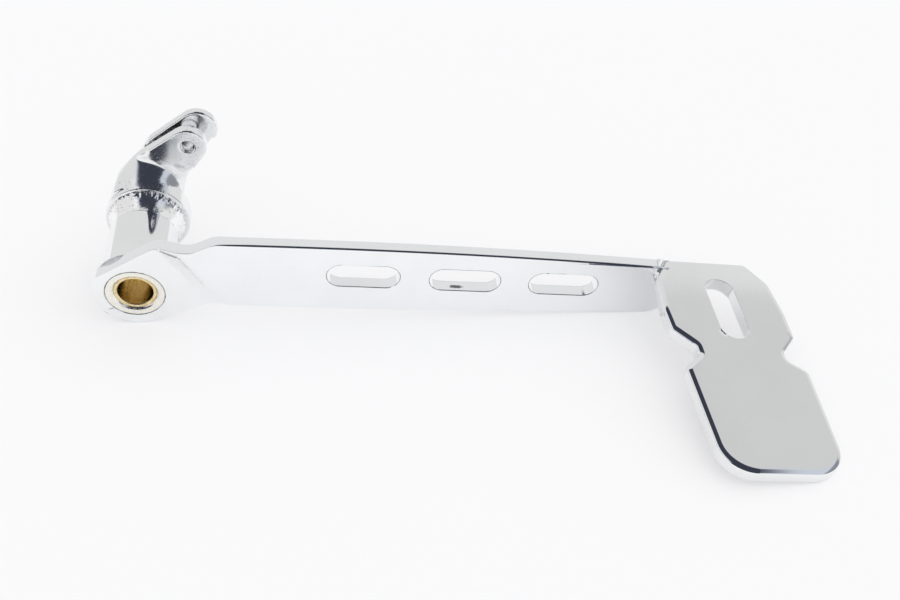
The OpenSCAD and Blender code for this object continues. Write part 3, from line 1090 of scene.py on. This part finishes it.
@dataclass
class Tent:
    """The pale tent round the table, open over the camera and to the right.

    Only the metal mirrors the tent. A place in it is given by its side, which runs
    from -1 at the left to 1 at the right, and by its rise, the angle in degrees
    from the back of the table over the top to the camera.

    Attributes:
        wall: Tone of the back wall.
        roof: Tone of the roof.
        roof_rise: Rises between which the wall turns into the roof.
        roof_side: Sides between which the roof begins.
        glow: How much paler a band at the tent's left is.
        glow_rise: Rises between which that band begins.
        glow_from: Sides between which it begins.
        glow_to: Sides between which it ends.
        room: Tone of the room at the right.
        room_rise: Rises between which the room begins.
        room_side: Sides between which it begins.
        strip: Tone of the tent between the opening and that room.
        strip_rise: Rises between which the strip begins.
        strip_side: Sides between which it begins.
        right_tint: Tint of the strip and of the room.
        gap: Tone of the opening over the camera.
        gap_tint: Tint of the opening.
        gap_rise: Rises between which the opening begins.
        gap_left: How far left of the middle the opening's left side is.
        gap_level: Rise at which it is that far.
        gap_slant: How far that side moves with each degree of rise.
        left_blur: How far to both sides the left side is blurred.
        gap_right: The opening's right side before and after it widens.
        widen_rise: Rises between which it widens.
        gap_narrow: How far its right side comes back over the camera.
        narrow_rise: Rises between which it comes back.
        right_blur: How far to both sides the right side is blurred.
        fold_scale: How many folds of the cloth there are.
        wall_fold: How far the folds move the roof's edge, in degrees.
        gap_fold: How far they move the opening's edge, in degrees.
        soft: Brightness of the even light that falls on the table.
        soft_side: How it grows to the right.
        soft_back: How it falls to the back.
    """

    wall: float = 0.785
    roof: float = 0.665
    roof_rise: Pair = (42.4, 43.6)
    roof_side: Pair = (0.30, 0.37)
    glow: float = 0.12
    glow_rise: Pair = (38.0, 46.0)
    glow_from: Pair = (-0.62, -0.44)
    glow_to: Pair = (-0.40, -0.3)
    room: float = 0.29
    room_rise: Pair = (50.0, 62.0)
    room_side: Pair = (0.66, 0.74)
    strip: float = 0.68
    strip_rise: Pair = (54.0, 66.0)
    strip_side: Pair = (0.38, 0.44)
    right_tint: Triple = (0.93, 0.99, 1.10)
    gap: float = 0.055
    gap_tint: Triple = (0.80, 0.90, 1.25)
    gap_rise: Pair = (46.2, 47.6)
    gap_left: float = 0.27
    gap_level: float = 45.0
    gap_slant: float = -0.005
    left_blur: float = 0.07
    gap_right: Pair = (0.395, 0.48)
    widen_rise: Pair = (58.0, 80.0)
    gap_narrow: float = 0.07
    narrow_rise: Pair = (130.0, 156.0)
    right_blur: float = 0.02
    fold_scale: float = 6.0
    wall_fold: float = 3.0
    gap_fold: float = 1.2
    soft: float = 1.09
    soft_side: float = 0.3
    soft_back: float = 0.25

    def build(self) -> None:
        """Set the tent up as the world."""
        world = bpy.data.worlds.new("tent")
        bpy.context.scene.world = world
        world.use_nodes = True
        r = Recipe(world.node_tree)
        way = r.wire("ShaderNodeTexCoord", output="Generated")
        folds = {"Vector": way, "Scale": self.fold_scale, "Detail": 2.0}
        fold = r.wire("ShaderNodeTexNoise", {}, folds) - 0.5
        side, back, up = r.parts(way)
        light, tint = self._mirrored(r, side, up.angle(back), fold)
        ray = r.node("ShaderNodeLightPath")
        seen = Wire(r, ray.outputs["Is Camera Ray"])
        spread = Wire(r, ray.outputs["Diffuse Depth"]).least(1.0)
        soft = side * self.soft_side - back * self.soft_back + self.soft
        light = spread * (soft - light) + light
        light = seen * (1.0 - light) + light
        tint = r.blend(seen.most(spread), tint, (1.0, 1.0, 1.0))
        glow = r.node("ShaderNodeBackground", {}, {"Color": tint, "Strength": light})
        r.node("ShaderNodeOutputWorld", {}, {"Surface": glow.outputs[0]})

    def _mirrored(self, r: Recipe, side: Wire, rise: Wire, fold: Wire) -> tuple[Wire, Wire]:
        """Work out what the metal mirrors.

        Args:
            r: The world's recipe.
            side: The place's side.
            rise: The place's rise.
            fold: The folds of the cloth there, from -0.5 to 0.5.

        Returns:
            The tone and the tint of the tent there.
        """
        roof = (rise + fold * self.wall_fold).ease(self.roof_rise) * side.ease(self.roof_side)
        light = roof * (self.roof - self.wall) + self.wall
        glow = side.ease(self.glow_from, 0.0, self.glow) * rise.ease(self.glow_rise)
        light = light + glow * side.ease(self.glow_to, 1.0, 0.0)
        room = side.ease(self.room_side) * rise.ease(self.room_rise)
        strip = side.ease(self.strip_side) * rise.ease(self.strip_rise)
        light = strip * (self.strip - light) + light
        light = room * (self.room - light) + light
        gap = self._opening(side, rise) * (rise + fold * self.gap_fold).ease(self.gap_rise)
        light = gap * (self.gap - light) + light
        tint = r.blend(gap, (1.0, 1.0, 1.0), self.gap_tint)
        return light, r.blend(strip.most(room) * (1.0 - gap), tint, self.right_tint)

    def _opening(self, side: Wire, rise: Wire) -> Wire:
        """Give 1 between the opening's left and right sides and 0 past them.

        Args:
            side: The place's side.
            rise: The place's rise.

        Returns:
            The mask.
        """
        left = (rise - self.gap_level) * self.gap_slant - self.gap_left
        right = rise.ease(self.widen_rise, *self.gap_right)
        right = right - rise.ease(self.narrow_rise, 0.0, self.gap_narrow)
        past_left = (side - left).ease((-self.left_blur, self.left_blur))
        return past_left * (side - right).ease((-self.right_blur, self.right_blur), 1.0, 0.0)


@dataclass
class Camera:
    """The camera, where the picture was taken.

    Attributes:
        place: Where it stands.
        look: The way it looks.
        down: The picture's down direction.
        lens: Focal length in millimetres.
        film: Width of the film that the focal length is for.
        reach: Nearest and farthest distance that it sees.
    """

    place: Vector = field(default_factory=lambda: Vector((0.0499, -0.3488, 0.3479)))
    look: Vector = field(default_factory=lambda: Vector((0.1919, 0.7012, -0.6866)))
    down: Vector = field(default_factory=lambda: Vector((0.0506, -0.7058, -0.7066)))
    lens: float = 41.6
    film: float = 36.0
    reach: Pair = (0.01, 50.0)

    def build(self) -> None:
        """Stand the camera up."""
        data = bpy.data.cameras.new("camera")
        data.lens = self.lens
        data.sensor_width = self.film
        data.clip_start, data.clip_end = self.reach
        eye = bpy.data.objects.new("camera", data)
        back = -self.look.normalized()
        up = -self.down.normalized()
        side = up.cross(back).normalized()
        up = back.cross(side)
        eye.matrix_world = Matrix.Translation(self.place) @ Matrix((side, up, back)).transposed().to_4x4()
        bpy.context.scene.collection.objects.link(eye)
        bpy.context.scene.camera = eye


# The pedal's own places, in millimetres

# Painted shade on the joggle's folds, standing in for the darker things they mirror, and nicks on the arm
ARM_NICKS_AND_PAINTED_SHADE = (
    # The first three are painted shade where the joggle's folds mirror darker surroundings; the last two are
    # a speck and a scratch
    Mark((15.5, -1.2, 26.3), (6.2, 3.0, 0.9), turn=12.0, dark=0.55, dull=0.25, ragged=0.7),
    Mark((21.5, -2.2, 22.5), (5.5, 3.0, 0.8), turn=52.0, dark=0.16, dull=0.22, ragged=0.8),
    Mark((27.5, -2.2, 14.0), (8.0, 3.0, 1.1), turn=58.0, dark=0.06, dull=0.2, ragged=0.8),
    Mark((146.3, -0.4, 15.7), (3.6, 1.1, 1.2), dark=0.75, dull=0.3, ragged=0.9),
    Mark((-10.8, 0.0, -10.4), (1.6, 1.0, 0.35), turn=-20.0, dark=0.6, dull=0.2, ragged=0.6),
)
# A worn spot on the right shoulder and one beside the weld
PAD_MARKS = (
    Mark((293.2, -43.4, 37.6), (1.1, 2.2, 1.0), dark=0.10, dull=0.08, ragged=0.2),
    Mark((244.2, -3.2, 37.4), (1.6, 1.2, 1.0), dark=0.35, dull=0.2, ragged=0.8),
)
# Nicks round the tube's mouth
TUBE_MARKS = (
    Mark((-0.6, 0.3, -10.3), (1.1, 1.0, 0.5), dark=0.8, dull=0.3, ragged=0.5),
    Mark((1.9, 0.3, -10.3), (1.0, 1.0, 0.45), dark=0.75, dull=0.3, ragged=0.5),
    Mark((-6.2, 0.0, -8.9), (0.7, 1.0, 0.4), turn=40.0, dark=0.6, dull=0.3, ragged=0.5),
    Mark((8.0, 0.0, -7.8), (0.8, 1.0, 0.35), turn=-45.0, dark=0.6, dull=0.3, ragged=0.5),
)
# The slots, and the hole for the tube
ARM_HOLES = (Rim((82.0, -4.0, 13.5), (216.0, 8.0, 30.0)), Rim((-14.5, -1.0, -14.5), (14.5, 8.0, 14.5)))
# The arm's end under the pad, and the back of its round end
ARM_ENDS = (Rim((241.2, -6.0, -5.0), (262.0, 8.0, 40.0)), Rim((-20.0, 5.0, -22.0), (22.0, 8.0, 31.0)))
# The slot for the foot rubber
PAD_HOLES = (Rim((260.0, -47.5, 30.0), (274.8, -8.8, 39.0)),)


def build_studio(nodes: dict[str, bpy.types.Object]) -> None:
    """Set up the camera, the table and the light.

    Args:
        nodes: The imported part's nodes by name.
    """
    Camera().build()
    Table().build(nodes)
    Tent().build()
    bpy.context.scene.view_settings.view_transform = "Standard"
    LOG.info("studio ready")


def build_plates(nodes: dict[str, bpy.types.Object]) -> None:
    """Build the arm and the foot pad.

    Args:
        nodes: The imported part's nodes by name.
    """
    arm_finish = BrightPlate("bright_plate", colour=(0.935, 0.95, 0.96), marks=ARM_NICKS_AND_PAINTED_SHADE)
    pad_finish = BrightPlate("pad_plate_polish", ripple=0.000012, ripple_size=0.022, marks=PAD_MARKS)
    PolishedPlate(
        "arm_plate",
        "polished_arm",
        sides=(Vector((0, -1, 0)), Vector((0, 1, 0))),
        rings=((0.12 * MM, 0.90 * MM), (0.33 * MM, 0.45 * MM), (0.45 * MM, 0.12 * MM)),
        rim=0.0,
        hole_rim=0.3 * MM,
        holes=ARM_HOLES,
        plain=ARM_ENDS,
        cuts=(238.0 * MM, 241.5 * MM),
        fade=(34.0 * MM, 44.0 * MM, 0.25),
    ).build(nodes, arm_finish.material())
    PolishedPlate(
        "pad_plate",
        "polished_pad",
        sides=(Vector((0, 0, 1)),),
        rings=((0.85 * MM, 0.80 * MM), (0.85 * MM, 0.38 * MM), (0.85 * MM, 0.09 * MM)),
        rim=0.55 * MM,
        hole_rim=0.12 * MM,
        holes=PAD_HOLES,
    ).build(nodes, pad_finish.material())


def build_pivot(nodes: dict[str, bpy.types.Object]) -> None:
    """Dress the tube and its bushes, and build the lever behind them.

    Args:
        nodes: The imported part's nodes by name.
    """
    tube_finish = TurnedPlate("turned_plate", marks=TUBE_MARKS).material()
    forged_finish = BrightPlate(
        "forged_plate",
        gloss=0.13,
        ripple=0.00005,
        ripple_size=0.009,
        specks=0.85,
        speck_size=0.0011,
        grain=0.000004,
    ).material()
    bronze = TurnedBronze("turned_bronze").material()
    DressedNode("pivot_tube", tube_finish, Slot.PLATE, edge=0.35 * MM).build(nodes)
    ForgedLever().build(nodes, forged_finish)
    for bush in ("outer_bush", "inner_bush"):
        DressedNode(bush, bronze, Slot.BRONZE, edge=0.2 * MM).build(nodes)


def build_welds(nodes: dict[str, bpy.types.Object]) -> None:
    """Dress the beads at the arm and at the pad, and build the one at the collar.

    Args:
        nodes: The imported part's nodes by name.
    """
    weld = PlatedWeld("plated_weld", lump=0.00003, fine=0.000004, pits=0.3, gloss=0.3).material()
    smooth_weld = PlatedWeld("smooth_weld", gloss=0.07).material()
    DressedNode("arm_weld", weld, Slot.WELD, edge=0.3 * MM).build(nodes)
    DressedNode("pad_weld", weld, Slot.WELD, edge=0.3 * MM, turn=30.0).build(nodes)
    CollarBead().build(smooth_weld)


def main() -> None:
    """Build the looks in order."""
    logging.basicConfig(level=logging.INFO, format="%(message)s")
    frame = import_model()
    nodes = frame["nodes"]
    build_studio(nodes)
    build_plates(nodes)
    build_pivot(nodes)
    build_welds(nodes)


if __name__ == "__main__":
    main()
